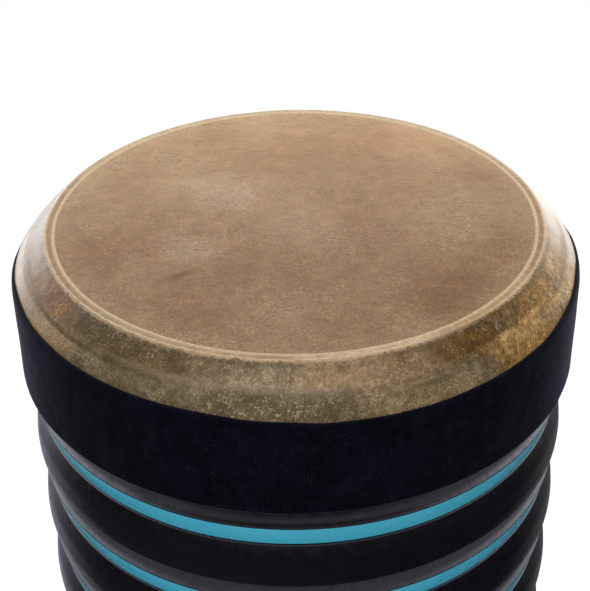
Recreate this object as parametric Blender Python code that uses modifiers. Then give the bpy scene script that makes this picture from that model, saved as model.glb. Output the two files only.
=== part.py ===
"""Hand drum with a goatskin head on a pleated shell that folds down.

Metres, +Z up, origin at the centre of the foot. The pieces are turned about the Z axis, which is also
the line that the head slides along when the shell folds. Heights are stacked from the floor up: foot,
pleats, head frame, head. Radii are worked out from the playing head's radius.
"""
import math

import bpy
from mathutils import Vector

# Head: the skin runs flat over the bearing ring's crest, down a slope and into the hoop's groove
HEAD_RADIUS = 0.1255
SKIN_THICKNESS = 0.0010
BEARING_WIDTH = 0.0035
BEAD_RISE = 0.0004
BEAD_RUN = 0.0012
SLOPE_RUN = 0.0175
SLOPE_DROP = 0.0187
CREASE_RUN = 0.0088
CREASE_RISE = 0.0004
GROOVE_DROP = 0.0088
SKIRT_TAIL = 0.0095
HOOP_SECTION = 0.0038
HOOP_RECESS = 0.0001
GROOVE_FLOOR = 0.0030
GROOVE_MOUTH = 0.0074
RING_HEIGHT = 0.0220
RING_LIP = 0.0030
CREST_CHAMFER = 0.0040
FRAME_LEDGE = 0.0050
LEDGE_BEARING = 0.0100

# Elastic band
BAND_THICKNESS = 0.0013
BAND_OVERHANG = 0.0023
BAND_PINCH = 0.0002
BAND_ROUNDING = 0.0015

# Pleated shell
PLEAT_COUNT = 11
SHELL_WALL = 0.0020
SHELL_INSET = 0.0030
UNDERCUT_RISE = 0.0012
BULGE_HEIGHT = 0.0218
CREST_RISE = 0.0008
CREST_DROP = 0.0140
LIP_INSET = 0.0041
SEAT_DEPTH = 0.0015
SEAT_STEP = 0.0004
SEAT_HEIGHT = 0.0116
SHOULDER_INSET = 0.0034
SHOULDER_RISE = 0.0113
VALLEY_DEPTH = 0.0126
CUFF_LENGTH = 0.0200
BEAD_HEIGHT = 0.0030
BEAD_LIP = 0.0016
FRAME_CLEARANCE = 0.0045

# Turquoise rings, one in each pleat's seat
STRIPE_THICKNESS = 0.0012

# Clamp rings and screws
CLAMP_THICKNESS = 0.0030
CLAMP_MARGIN = 0.0050
SCREW_COUNT = 6
SCREW_ZONE = 0.0105
SCREW_RADIUS = 0.0016
SCREW_HEAD_RADIUS = 0.0032
SCREW_HEAD_DEPTH = 0.0018
SCREW_SINK = 0.0004
SCREW_END_GAP = 0.0006

# Foot
PAD_STANDOFF = 0.0025
PAD_THICKNESS = 0.0050
PAD_WIDTH = 0.0070
PAD_INSET = 0.0032
FOOT_SHELF = 0.0125
FOOT_HEIGHT = 0.0253
FOOT_CLEARANCE = 0.0008
FOOT_FLARE = 0.0016
FOOT_SLOPE = 0.0100
FOOT_ROUNDING = 0.0065
FOOT_CHAMFER = 0.0010

# Clearance between touching pieces, overshoot of cutters, and the facets of turned pieces
GAP = 0.0003
CUT_MARGIN = 0.0030
FACETS = 30
SCREW_FACETS = 8

# Radii that follow from the sizes above
SKIN_WALL_RADIUS = HEAD_RADIUS + SLOPE_RUN
FRAME_RADIUS = SKIN_WALL_RADIUS - SKIN_THICKNESS - GAP
BAND_RADIUS = SKIN_WALL_RADIUS + GAP + BAND_THICKNESS
SHELL_RADIUS = BAND_RADIUS - SHELL_INSET
CREST_RADIUS = SHELL_RADIUS + CREST_RISE
LIP_RADIUS = SHELL_RADIUS - LIP_INSET
SEAT_RADIUS = LIP_RADIUS - SEAT_DEPTH
SHOULDER_RADIUS = SHELL_RADIUS - SHOULDER_INSET
CUFF_RADIUS = SHELL_RADIUS - VALLEY_DEPTH
CUFF_BORE = CUFF_RADIUS - SHELL_WALL
CLAMP_RADIUS = CUFF_BORE - GAP
CLAMP_BORE = CLAMP_RADIUS - CLAMP_THICKNESS
FOOT_RADIUS = SHELL_RADIUS + FOOT_FLARE
HOOP_RADIUS = SKIN_WALL_RADIUS - HOOP_RECESS - HOOP_SECTION / 2
GROOVE_RADIUS = HOOP_RADIUS - HOOP_SECTION / 2 - GAP
RING_BORE = HEAD_RADIUS - BEARING_WIDTH - RING_LIP

# Heights that follow, from the floor up
FOOT_BOTTOM = PAD_STANDOFF
FOOT_TOP = FOOT_BOTTOM + FOOT_HEIGHT
LOWER_CUFF_END = FOOT_BOTTOM + FOOT_SHELF
FIRST_VALLEY = FOOT_TOP + FOOT_CLEARANCE
PLEAT_PITCH = UNDERCUT_RISE + BULGE_HEIGHT + SEAT_STEP + SEAT_HEIGHT + SHOULDER_RISE
LAST_VALLEY = FIRST_VALLEY + PLEAT_COUNT * PLEAT_PITCH
FRAME_BOTTOM = LAST_VALLEY + FRAME_CLEARANCE
UPPER_CUFF_END = FRAME_BOTTOM + CUFF_LENGTH
SKIRT_END = UPPER_CUFF_END + SCREW_ZONE
GROOVE_CENTRE = SKIRT_END + SKIRT_TAIL
BAND_TOP = GROOVE_CENTRE + GROOVE_DROP
BAND_BOTTOM = FRAME_BOTTOM - BAND_OVERHANG
HEAD_TOP = BAND_TOP + SLOPE_DROP
RING_BOTTOM = HEAD_TOP - RING_HEIGHT


def remove_everything():
    for thing in list(bpy.data.objects):
        bpy.data.objects.remove(thing, do_unlink=True)


def new_collection(name):
    collection = bpy.data.collections.new(name)
    bpy.context.scene.collection.children.link(collection)
    return collection


def material(name, colour, roughness, metallic=0.0):
    finish = bpy.data.materials.new(name)
    finish.use_nodes = True
    shader = finish.node_tree.nodes["Principled BSDF"]
    shader.inputs["Base Color"].default_value = (*colour, 1.0)
    shader.inputs["Roughness"].default_value = roughness
    shader.inputs["Metallic"].default_value = metallic
    finish.diffuse_color = (*colour, 1.0)
    return finish


def offset_outline(outline, distance):
    """Move an open outline to its right by a distance, with mitred corners."""
    points = [Vector(point) for point in outline]
    normals = []
    for start, end in zip(points, points[1:]):
        along = (end - start).normalized()
        normals.append(Vector((along.y, -along.x)))
    moved = [points[0] + normals[0] * distance]
    for point, before, after in zip(points[1:-1], normals, normals[1:]):
        bisector = (before + after).normalized()
        moved.append(point + bisector * distance / bisector.dot(after))
    moved.append(points[-1] + normals[-1] * distance)
    return [(point.x, point.y) for point in moved]


def turned(name, outline, finish, collection, closed=True, axis="Z", facets=FACETS):
    """Turn an outline about an axis. It runs down the outer side and back up the inner side."""
    if axis == "Z":
        points = [(radius, 0.0, height) for radius, height in outline]
    else:
        points = [(along, radius, 0.0) for radius, along in outline]
    count = len(points)
    edges = [(i, (i + 1) % count) for i in range(count if closed else count - 1)]
    mesh = bpy.data.meshes.new(name)
    mesh.from_pydata(points, edges, [])
    piece = bpy.data.objects.new(name, mesh)
    collection.objects.link(piece)
    piece.data.materials.append(finish)
    turn = piece.modifiers.new("Turn", "SCREW")
    turn.axis = axis
    turn.steps = facets
    turn.render_steps = facets
    turn.use_merge_vertices = True
    turn.merge_threshold = 0.00001
    turn.use_smooth_shade = True
    return piece


def settle(piece):
    """Turn a piece's modifiers into its mesh, and shade its round faces smooth."""
    bpy.context.view_layer.update()
    graph = bpy.context.evaluated_depsgraph_get()
    mesh = bpy.data.meshes.new_from_object(piece.evaluated_get(graph))
    piece.modifiers.clear()
    piece.data = mesh
    mesh.shade_smooth()
    mesh.set_sharp_from_angle(angle=math.radians(35))


def set_around(piece, height, place):
    """Set a piece that was turned about X at a height, in one of the screws' places round the Z axis."""
    piece.location = (0.0, 0.0, height)
    piece.rotation_euler = (0.0, 0.0, math.pi / FACETS + place * 2 * math.pi / SCREW_COUNT)


def copy_of(piece, name, collection):
    copied = bpy.data.objects.new(name, piece.data)
    collection.objects.link(copied)
    return copied


def cut(piece, cutters):
    for cutter in cutters:
        boolean = piece.modifiers.new("Cut", "BOOLEAN")
        boolean.operation = "DIFFERENCE"
        boolean.solver = "EXACT"
        boolean.object = cutter


def screws(name, height, surface_radius, finish, collection, cutters):
    """Countersunk screws set radially below a round surface, and the cutters of their holes."""
    flat_radius = surface_radius * math.cos(math.pi / FACETS)
    outer = flat_radius - SCREW_SINK
    neck = outer - SCREW_HEAD_DEPTH
    inner = CLAMP_BORE + SCREW_END_GAP
    solid = [(0.0, outer), (SCREW_HEAD_RADIUS, outer), (SCREW_RADIUS, neck), (SCREW_RADIUS, inner), (0.0, inner)]
    first = turned(name + "_1", solid, finish, collection, closed=False, axis="X", facets=SCREW_FACETS)
    settle(first)
    mouth = outer + CUT_MARGIN
    end = CLAMP_BORE - CUT_MARGIN
    head = SCREW_HEAD_RADIUS + GAP
    shank = SCREW_RADIUS + GAP
    hole = [(0.0, mouth), (head, mouth), (head, outer), (shank, neck), (shank, end), (0.0, end)]
    drill = turned(name + "_hole_1", hole, finish, cutters, closed=False, axis="X", facets=SCREW_FACETS)
    settle(drill)
    pieces = [first]
    holes = [drill]
    for place in range(1, SCREW_COUNT):
        pieces.append(copy_of(first, f"{name}_{place + 1}", collection))
        holes.append(copy_of(drill, f"{name}_hole_{place + 1}", cutters))
    for place in range(SCREW_COUNT):
        set_around(pieces[place], height, place)
        set_around(holes[place], height, place)
        holes[place].hide_render = True
        holes[place].display_type = "WIRE"
    return pieces, holes


def skin_outline():
    """The outside of the skin, from its centre out to the end of its skirt."""
    crease = HEAD_TOP - SLOPE_DROP * CREASE_RUN / SLOPE_RUN + CREASE_RISE
    return [
        (0.0, HEAD_TOP),
        (HEAD_RADIUS - BEARING_WIDTH - BEAD_RUN, HEAD_TOP),
        (HEAD_RADIUS - BEARING_WIDTH, HEAD_TOP + BEAD_RISE),
        (HEAD_RADIUS, HEAD_TOP + BEAD_RISE),
        (HEAD_RADIUS + CREASE_RUN, crease),
        (SKIN_WALL_RADIUS, BAND_TOP),
        (SKIN_WALL_RADIUS, GROOVE_CENTRE + GROOVE_MOUTH / 2),
        (GROOVE_RADIUS, GROOVE_CENTRE + GROOVE_FLOOR / 2),
        (GROOVE_RADIUS, GROOVE_CENTRE - GROOVE_FLOOR / 2),
        (SKIN_WALL_RADIUS, GROOVE_CENTRE - GROOVE_MOUTH / 2),
        (SKIN_WALL_RADIUS, SKIRT_END),
    ]


def goatskin_head(collection):
    finish = material("goatskin", (0.38, 0.25, 0.16), 0.55)
    outside = skin_outline()
    inside = offset_outline(outside, SKIN_THICKNESS)
    return turned("goatskin_head", outside + inside[::-1], finish, collection, closed=False)


def bearing_ring(collection):
    finish = material("bearing_ring_wood", (0.45, 0.30, 0.17), 0.5)
    seat = offset_outline(skin_outline(), SKIN_THICKNESS + GAP)
    inner_crest, outer_crest, crease = seat[2:5]
    outline = [
        inner_crest,
        outer_crest,
        crease,
        (crease[0], RING_BOTTOM),
        (RING_BORE, RING_BOTTOM),
        (RING_BORE, inner_crest[1] - CREST_CHAMFER),
    ]
    return turned("bearing_ring", outline, finish, collection)


def head_frame(collection, screw_holes):
    """The frame's outside follows the skin; inside it has a rebate, a shelf and the cuff's bore."""
    finish = material("frame_wood", (0.50, 0.35, 0.20), 0.5)
    seat = offset_outline(skin_outline(), SKIN_THICKNESS + GAP)
    crease, shoulder = seat[4:6]
    rebate = crease[0] + GAP
    share = GAP / (shoulder[0] - crease[0])
    rebate_top = crease[1] + share * (shoulder[1] - crease[1])
    floor = RING_BOTTOM - GAP
    ledge_bore = crease[0] - LEDGE_BEARING
    bore = CUFF_RADIUS + GAP
    outline = [(rebate, rebate_top)] + seat[5:10] + [
        (FRAME_RADIUS, FRAME_BOTTOM),
        (bore, FRAME_BOTTOM),
        (bore, UPPER_CUFF_END - BEAD_HEIGHT - GAP),
        (bore + BEAD_LIP, UPPER_CUFF_END - BEAD_HEIGHT - GAP),
        (bore + BEAD_LIP, UPPER_CUFF_END + GAP),
        (CUFF_BORE, UPPER_CUFF_END + GAP),
        (CUFF_BORE, floor - FRAME_LEDGE),
        (ledge_bore, floor - FRAME_LEDGE),
        (ledge_bore, floor),
        (rebate, floor),
    ]
    piece = turned("head_frame", outline, finish, collection)
    cut(piece, screw_holes)
    return piece


def flesh_hoop(collection):
    finish = material("hoop_steel", (0.55, 0.55, 0.56), 0.35, 1.0)
    sides = 6
    section = HOOP_SECTION / 2
    outline = []
    for i in range(sides):
        angle = math.pi / 2 - 2 * math.pi * i / sides
        outline.append((HOOP_RADIUS + section * math.cos(angle), GROOVE_CENTRE + section * math.sin(angle)))
    return turned("flesh_hoop", outline, finish, collection)


def elastic_band(collection):
    finish = material("band_knit", (0.008, 0.008, 0.012), 0.9)
    inner = SKIN_WALL_RADIUS + GAP
    middle = (BAND_TOP + BAND_BOTTOM) / 2
    outline = [
        (BAND_RADIUS, BAND_TOP - BAND_ROUNDING),
        (BAND_RADIUS - BAND_PINCH, middle),
        (BAND_RADIUS, BAND_BOTTOM),
        (inner, BAND_BOTTOM),
        (inner, BAND_TOP),
        ((inner + BAND_RADIUS) / 2, BAND_TOP),
    ]
    return turned("elastic_band", outline, finish, collection)


def clamp_ring(name, bottom, top, screw_holes, collection):
    finish = material(name + "_finish", (0.60, 0.61, 0.62), 0.4, 1.0)
    outline = [(CLAMP_RADIUS, top), (CLAMP_RADIUS, bottom), (CLAMP_BORE, bottom), (CLAMP_BORE, top)]
    piece = turned(name, outline, finish, collection)
    cut(piece, screw_holes)
    return piece


def pleat_outside(valley):
    """One pleat's outside from its upper valley down to its lower edge, above a lower valley."""
    lower_edge = valley + UNDERCUT_RISE
    lip = lower_edge + BULGE_HEIGHT
    seat = lip + SEAT_STEP
    shoulder = seat + SEAT_HEIGHT
    return [
        (CUFF_RADIUS, shoulder + SHOULDER_RISE),
        (SHOULDER_RADIUS, shoulder),
        (SEAT_RADIUS, seat),
        (LIP_RADIUS, lip),
        (CREST_RADIUS, lip - CREST_DROP),
        (SHELL_RADIUS, lower_edge),
    ]


def pleat_inside(valley):
    """One pleat's inside from its lower valley up to the wall behind the stripe's seat."""
    lip = valley + UNDERCUT_RISE + BULGE_HEIGHT
    return [
        (CUFF_BORE, valley),
        (CREST_RADIUS - SHELL_WALL, lip - CREST_DROP),
        (SEAT_RADIUS - SHELL_WALL, lip + SEAT_STEP),
    ]


def pleated_shell(collection):
    finish = material("shell_black", (0.010, 0.010, 0.011), 0.18)
    bead = CUFF_RADIUS + BEAD_LIP
    valleys = [FIRST_VALLEY + i * PLEAT_PITCH for i in range(PLEAT_COUNT)]
    outline = [(bead, UPPER_CUFF_END), (bead, UPPER_CUFF_END - BEAD_HEIGHT)]
    outline += [(CUFF_RADIUS, UPPER_CUFF_END - BEAD_HEIGHT)]
    for valley in reversed(valleys):
        outline += pleat_outside(valley)
    outline += [(CUFF_RADIUS, FIRST_VALLEY), (CUFF_RADIUS, LOWER_CUFF_END + BEAD_HEIGHT)]
    outline += [(bead, LOWER_CUFF_END + BEAD_HEIGHT), (bead, LOWER_CUFF_END), (CUFF_BORE, LOWER_CUFF_END)]
    for valley in valleys:
        outline += pleat_inside(valley)
    outline += [(CUFF_BORE, LAST_VALLEY), (CUFF_BORE, UPPER_CUFF_END)]
    return turned("pleated_shell", outline, finish, collection)


def stripe_rings(collection):
    """A thin conical ring in each pleat's seat, numbered from the head down."""
    finish = material("stripe_turquoise", (0.035, 0.285, 0.400), 0.3)
    lean = (SHOULDER_RADIUS - SEAT_RADIUS) / SEAT_HEIGHT
    rings = []
    for i in range(PLEAT_COUNT):
        seat = LAST_VALLEY - i * PLEAT_PITCH - SHOULDER_RISE - SEAT_HEIGHT
        low = SEAT_RADIUS + GAP * (1 + lean)
        high = SHOULDER_RADIUS + GAP * (1 - lean)
        bottom = seat + GAP
        top = seat + SEAT_HEIGHT - GAP
        outline = [(high + STRIPE_THICKNESS, top), (low + STRIPE_THICKNESS, bottom), (low, bottom), (high, top)]
        rings.append(turned(f"stripe_ring_{i + 1:02d}", outline, finish, collection))
    return rings


def foot_ring(collection, screw_holes):
    """Its top slopes like a pleat's shoulder, and a groove in its underside holds the rubber."""
    finish = material("foot_black", (0.012, 0.012, 0.013), 0.3)
    bore = CUFF_RADIUS + GAP
    pad_outer = FOOT_RADIUS - PAD_INSET
    groove_top = PAD_THICKNESS + GAP
    bead_top = LOWER_CUFF_END + BEAD_HEIGHT + GAP
    outline = [
        (bore, FOOT_TOP),
        (SHOULDER_RADIUS, FOOT_TOP - FOOT_SLOPE),
        (FOOT_RADIUS, FOOT_TOP - FOOT_SLOPE - FOOT_ROUNDING),
        (FOOT_RADIUS, FOOT_BOTTOM + FOOT_CHAMFER),
        (FOOT_RADIUS - FOOT_CHAMFER, FOOT_BOTTOM),
        (pad_outer + GAP, FOOT_BOTTOM),
        (pad_outer + GAP, groove_top),
        (pad_outer - PAD_WIDTH - GAP, groove_top),
        (pad_outer - PAD_WIDTH - GAP, FOOT_BOTTOM),
        (CUFF_BORE, FOOT_BOTTOM),
        (CUFF_BORE, LOWER_CUFF_END - GAP),
        (bore + BEAD_LIP, LOWER_CUFF_END - GAP),
        (bore + BEAD_LIP, bead_top),
        (bore, bead_top),
    ]
    piece = turned("foot_ring", outline, finish, collection)
    cut(piece, screw_holes)
    return piece


def foot_pad(collection):
    finish = material("foot_rubber", (0.020, 0.020, 0.020), 0.85)
    outer = FOOT_RADIUS - PAD_INSET
    inner = outer - PAD_WIDTH
    outline = [(outer, PAD_THICKNESS), (outer, 0.0), (inner, 0.0), (inner, PAD_THICKNESS)]
    return turned("foot_pad", outline, finish, collection)


def body(name, pieces, collection):
    """An empty on the slide's axis that carries the pieces of one body."""
    carrier = bpy.data.objects.new(name, None)
    collection.objects.link(carrier)
    for piece in pieces:
        piece.parent = carrier
    return carrier


def build_drum():
    remove_everything()
    drum = new_collection("drum")
    cutters = new_collection("drum_cutters")
    screw_steel = material("screw_steel", (0.50, 0.50, 0.51), 0.35, 1.0)
    head_screw_height = UPPER_CUFF_END + GAP + SCREW_ZONE / 2
    foot_screw_height = LOWER_CUFF_END - GAP - SCREW_ZONE / 2
    head_screws, head_holes = screws(
        "head_screw", head_screw_height, FRAME_RADIUS, screw_steel, drum, cutters
    )
    foot_screws, foot_holes = screws(
        "foot_screw", foot_screw_height, FOOT_RADIUS, screw_steel, drum, cutters
    )
    upper_clamp_top = head_screw_height + CLAMP_MARGIN
    lower_clamp_bottom = foot_screw_height - CLAMP_MARGIN
    head_pieces = [
        goatskin_head(drum),
        bearing_ring(drum),
        head_frame(drum, head_holes),
        flesh_hoop(drum),
        elastic_band(drum),
        clamp_ring("upper_clamp_ring", FRAME_BOTTOM, upper_clamp_top, head_holes, drum),
        *head_screws,
    ]
    foot_pieces = [
        pleated_shell(drum),
        *stripe_rings(drum),
        clamp_ring("lower_clamp_ring", lower_clamp_bottom, FOOT_TOP, foot_holes, drum),
        foot_ring(drum, foot_holes),
        foot_pad(drum),
        *foot_screws,
    ]
    for piece in head_pieces + foot_pieces:
        if piece.modifiers:
            settle(piece)
    body("head_body", head_pieces, drum)
    body("foot_body", foot_pieces, drum)


build_drum()
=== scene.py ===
"""Hand drum: goatskin head, knitted band, and a glossy pleated shell with turquoise rings."""
import math

import bmesh
import bpy
from mathutils import Matrix, Vector, noise


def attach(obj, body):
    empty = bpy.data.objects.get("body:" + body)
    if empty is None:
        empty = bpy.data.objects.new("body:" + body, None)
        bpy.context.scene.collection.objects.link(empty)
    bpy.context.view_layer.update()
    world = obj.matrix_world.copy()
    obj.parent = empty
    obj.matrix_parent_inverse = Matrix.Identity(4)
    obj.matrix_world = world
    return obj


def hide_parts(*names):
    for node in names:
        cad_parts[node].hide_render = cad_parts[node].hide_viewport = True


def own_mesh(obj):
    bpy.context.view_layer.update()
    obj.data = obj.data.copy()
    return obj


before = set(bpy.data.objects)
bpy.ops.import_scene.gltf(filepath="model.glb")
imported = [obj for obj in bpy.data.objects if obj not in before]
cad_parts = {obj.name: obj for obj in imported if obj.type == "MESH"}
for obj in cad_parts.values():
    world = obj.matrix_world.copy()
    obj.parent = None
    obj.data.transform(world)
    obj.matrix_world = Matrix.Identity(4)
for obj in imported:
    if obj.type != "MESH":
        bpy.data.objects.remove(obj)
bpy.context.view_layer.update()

# The camera stands at arm's length and looks down on the head, as it does in the photograph.
# It is aimed a little below the middle of the head and leans about one degree.
HEAD_PLANE = 0.6103
CAMERA_DISTANCE = 0.65
CAMERA_ELEVATION = 0.5147
CAMERA_DIP = 0.0631
CAMERA_PAN = -0.0008
CAMERA_ROLL = -0.0179
FOCAL_PIXELS = 1281.3
FRAME_PIXELS = 590
SENSOR = 36.0


def aim_camera():
    sight = Vector((0.0, math.cos(CAMERA_ELEVATION), -math.sin(CAMERA_ELEVATION)))
    position = Vector((0.0, 0.0, HEAD_PLANE)) - sight * CAMERA_DISTANCE
    dip = CAMERA_ELEVATION + CAMERA_DIP
    ahead = Vector((0.0, math.cos(dip), -math.sin(dip)))
    level = Vector((1.0, 0.0, 0.0))
    forward = ahead * math.cos(CAMERA_PAN) + level * math.sin(CAMERA_PAN)
    right = level * math.cos(CAMERA_PAN) - ahead * math.sin(CAMERA_PAN)
    up = right.cross(forward)
    turned_right = right * math.cos(CAMERA_ROLL) + up * math.sin(CAMERA_ROLL)
    turned_up = up * math.cos(CAMERA_ROLL) - right * math.sin(CAMERA_ROLL)
    lens = bpy.data.cameras.new("camera")
    lens.sensor_fit = "HORIZONTAL"
    lens.sensor_width = SENSOR
    lens.lens = FOCAL_PIXELS * SENSOR / FRAME_PIXELS
    lens.clip_start = 0.01
    lens.clip_end = 50.0
    camera = bpy.data.objects.new("camera", lens)
    bpy.context.scene.collection.objects.link(camera)
    axes = Matrix((turned_right, turned_up, -forward)).transposed()
    camera.matrix_world = Matrix.Translation(position) @ axes.to_4x4()
    bpy.context.scene.camera = camera


aim_camera()


# The studio: a pale floor, a white room, and two large soft lamps, one behind above and one low in front.
# Gloss sees the room as the drum stood in it: bright low down behind, pale above, and dark low down in front.
class Tree:
    """A node tree, with short ways to add the nodes that its finishes and shapes need."""

    def __init__(self, tree):
        self.nodes = tree.nodes
        self.links = tree.links
        self.nodes.clear()

    def add(self, kind, **settings):
        node = self.nodes.new(kind)
        for setting, value in settings.items():
            setattr(node, setting, value)
        return node

    def feed(self, socket, value):
        """Link a node's output to a socket, or set the socket to a number or a colour."""
        if isinstance(value, bpy.types.NodeSocket):
            self.links.new(value, socket)
        elif isinstance(value, tuple) and len(socket.default_value) == len(value) + 1:
            socket.default_value = (*value, 1.0)
        elif value is not None:
            socket.default_value = value

    def maths(self, operation, *values):
        node = self.add("ShaderNodeMath", operation=operation)
        for socket, value in zip(node.inputs, values):
            self.feed(socket, value)
        return node.outputs["Value"]

    def times(self, first, *others):
        for other in others:
            first = self.maths("MULTIPLY", first, other)
        return first

    def between(self, value, low, high, bottom=0.0, top=1.0):
        """Rise smoothly from bottom to top while a value goes from low to high."""
        node = self.add("ShaderNodeMapRange", interpolation_type="SMOOTHSTEP")
        for name, number in (("From Min", low), ("From Max", high), ("To Min", bottom), ("To Max", top)):
            node.inputs[name].default_value = number
        self.feed(node.inputs["Value"], value)
        return node.outputs["Result"]

    def axes(self, vector):
        node = self.add("ShaderNodeSeparateXYZ")
        self.feed(node.inputs["Vector"], vector)
        return node.outputs["X"], node.outputs["Y"], node.outputs["Z"]

    def vector(self, x, y, z):
        node = self.add("ShaderNodeCombineXYZ")
        for socket, value in zip(node.inputs, (x, y, z)):
            self.feed(socket, value)
        return node.outputs["Vector"]

    def mix(self, factor, first, second, blend="MIX"):
        node = self.add("ShaderNodeMix", data_type="RGBA", blend_type=blend)
        for name, value in (("Factor", factor), ("A", first), ("B", second)):
            self.feed(node.inputs[name], value)
        return node.outputs["Result"]


def new_material(name):
    material = bpy.data.materials.new(name)
    material.use_nodes = True
    return material


def floor_paper():
    """White paper: the camera sees it nearly white, with the drum's shadow, and gloss sees it white far behind."""
    material = new_material("floor_paper")
    tree = Tree(material.node_tree)
    output = tree.add("ShaderNodeOutputMaterial")
    paper = tree.add("ShaderNodeBsdfDiffuse")
    paper.inputs["Color"].default_value = (0.80, 0.80, 0.80, 1.0)
    x, y, _ = tree.axes(tree.add("ShaderNodeTexCoord").outputs["Object"])
    away = tree.maths("SQRT", tree.maths("MULTIPLY_ADD", x, x, tree.maths("MULTIPLY", y, y)))
    heading = tree.maths("DIVIDE", y, away)
    sideways = tree.maths("DIVIDE", x, away)
    near = tree.times(tree.between(heading, -0.10, 0.60, 0.06, 0.55), tree.between(sideways, -0.5, 0.5, 1.0, 0.35))
    astern = tree.times(tree.between(heading, 0.78, 0.93), tree.between(sideways, -0.5, 0.5, 0.22, 0.55))
    turned = tree.maths("DIVIDE", tree.maths("MULTIPLY_ADD", x, -0.07, y), away)
    far = tree.times(tree.between(turned, 0.40, 0.74), tree.between(away, 1.4, 3.2), 3.7)
    mirrored = tree.add("ShaderNodeEmission")
    lilac = tree.mix(tree.between(sideways, -0.5, 0.5), (0.90, 0.87, 1.04), (0.98, 0.97, 1.0))
    tree.feed(mirrored.inputs["Color"], tree.mix(tree.between(away, 1.4, 3.2), lilac, (1.0, 1.0, 1.0)))
    tree.feed(mirrored.inputs["Strength"], tree.maths("ADD", tree.maths("ADD", near, far), astern))
    shown = tree.add("ShaderNodeEmission")
    shown.inputs["Color"].default_value = (1.0, 1.0, 1.0, 1.0)
    shown.inputs["Strength"].default_value = 1.14
    path = tree.add("ShaderNodeLightPath")

    def blend(factor, first, second):
        node = tree.add("ShaderNodeMixShader")
        for socket, value in zip(node.inputs, (factor, first, second)):
            tree.feed(socket, value)
        return node.outputs["Shader"]

    bright = blend(0.82, paper.outputs["BSDF"], shown.outputs["Emission"])
    gloss = blend(path.outputs["Is Glossy Ray"], paper.outputs["BSDF"], mirrored.outputs["Emission"])
    tree.feed(output.inputs["Surface"], blend(path.outputs["Is Camera Ray"], gloss, bright))
    return material


ROOM_LIGHT = 0.42
PANEL_STRENGTH = 3.2
STRIP_STRENGTH = 5.2


def studio_world():
    world = bpy.data.worlds.new("studio")
    world.use_nodes = True
    tree = Tree(world.node_tree)
    output = tree.add("ShaderNodeOutputWorld")
    x, y, z = tree.axes(tree.add("ShaderNodeTexCoord").outputs["Generated"])
    behind = tree.between(y, -0.05, 0.50, 0.04, 0.95)
    above = tree.between(z, 0.26, 0.48, 0.0, 0.90)
    room = tree.maths("MAXIMUM", behind, above)
    turned = tree.maths("MULTIPLY_ADD", x, -0.07, y)
    panel = tree.times(tree.between(turned, 0.40, 0.74), tree.between(z, 0.20, 0.46, 1.0, 0.0))
    aslant = tree.maths("MULTIPLY_ADD", y, 0.6, z)
    strip = tree.times(tree.between(aslant, 0.50, 0.82), tree.between(y, -0.42, 0.52),
                       tree.between(y, 0.50, 0.75, 1.0, 0.0))
    mirrored = tree.maths("MULTIPLY_ADD", panel, PANEL_STRENGTH, room)
    mirrored = tree.maths("MULTIPLY_ADD", strip, STRIP_STRENGTH, mirrored)
    path = tree.add("ShaderNodeLightPath")
    seen_in_gloss = tree.maths("MULTIPLY", path.outputs["Is Glossy Ray"], tree.maths("SUBTRACT", mirrored, ROOM_LIGHT))
    level = tree.maths("ADD", seen_in_gloss, ROOM_LIGHT)
    strength = tree.maths("MAXIMUM", level, path.outputs["Is Camera Ray"])
    ambient = tree.add("ShaderNodeBackground")
    ambient.inputs["Color"].default_value = (1.0, 1.0, 1.0, 1.0)
    tree.feed(ambient.inputs["Strength"], strength)
    tree.feed(output.inputs["Surface"], ambient.outputs["Background"])
    return world


def add_floor(reach=6.0):
    mesh = bpy.data.meshes.new("floor")
    corners = [(-reach, -reach, 0.0), (reach, -reach, 0.0), (reach, reach, 0.0), (-reach, reach, 0.0)]
    mesh.from_pydata(corners, [], [(0, 1, 2, 3)])
    mesh.materials.append(floor_paper())
    floor = bpy.data.objects.new("floor", mesh)
    bpy.context.scene.collection.objects.link(floor)


def add_lamp(name, position, target, size, power):
    light = bpy.data.lights.new(name, "AREA")
    light.shape = "RECTANGLE"
    light.size = size[0]
    light.size_y = size[1]
    light.energy = power
    lamp = bpy.data.objects.new(name, light)
    lamp.visible_glossy = False
    bpy.context.scene.collection.objects.link(lamp)
    lamp.location = position
    lamp.rotation_euler = (Vector(target) - Vector(position)).to_track_quat("-Z", "Y").to_euler()


bpy.context.scene.view_settings.view_transform = "Standard"
bpy.context.scene.world = studio_world()
add_floor()
add_lamp("lamp_behind", (0.15, 0.75, 1.25), (0.0, 0.05, 0.6), (0.9, 0.5), 9.0)
add_lamp("lamp_front", (-0.10, -1.10, 0.95), (0.0, 0.0, 0.58), (1.0, 0.4), 5.0)


# Goatskin head: one hide, soaked and drawn over the bearing ring, down the slope and under the hoop.
# Its flat is brown and cloudy between two pale lines; its slope is olive, brown and freckled, and glossy.
HEAD_TOP = 0.6099
SKIN_EDGE = 0.1255
INNER_LINE = 0.1212
OUTER_LINE = 0.1252
LINE_RISE = 0.00025
SKIN_THICKNESS = 0.0009
SKIN_SHOULDER = (0.1429, 0.5919)
SHOULDER_BEND = 0.0105
SKIN_SKIRT_END = 0.5729
SKIN_GROOVE = ((0.1429, 0.5861), (0.1389, 0.5839), (0.1389, 0.5809), (0.1429, 0.5787))
SLOPE_RUN = SKIN_SHOULDER[0] - SKIN_EDGE
SLOPE_DROP = HEAD_TOP - SKIN_SHOULDER[1]
SLOPE_LENGTH = math.hypot(SLOPE_RUN, SLOPE_DROP)
SLOPE_TILT = math.atan2(SLOPE_RUN, SLOPE_DROP)
BEND_REACH = SHOULDER_BEND * math.tan(SLOPE_TILT / 2)
CREASE_DOWN = 0.0156
CREASE_RADIUS = SKIN_EDGE + CREASE_DOWN * SLOPE_RUN / SLOPE_LENGTH
SLOPE_MIDDLE = 0.1345
TURN_STEPS = 240


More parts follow.
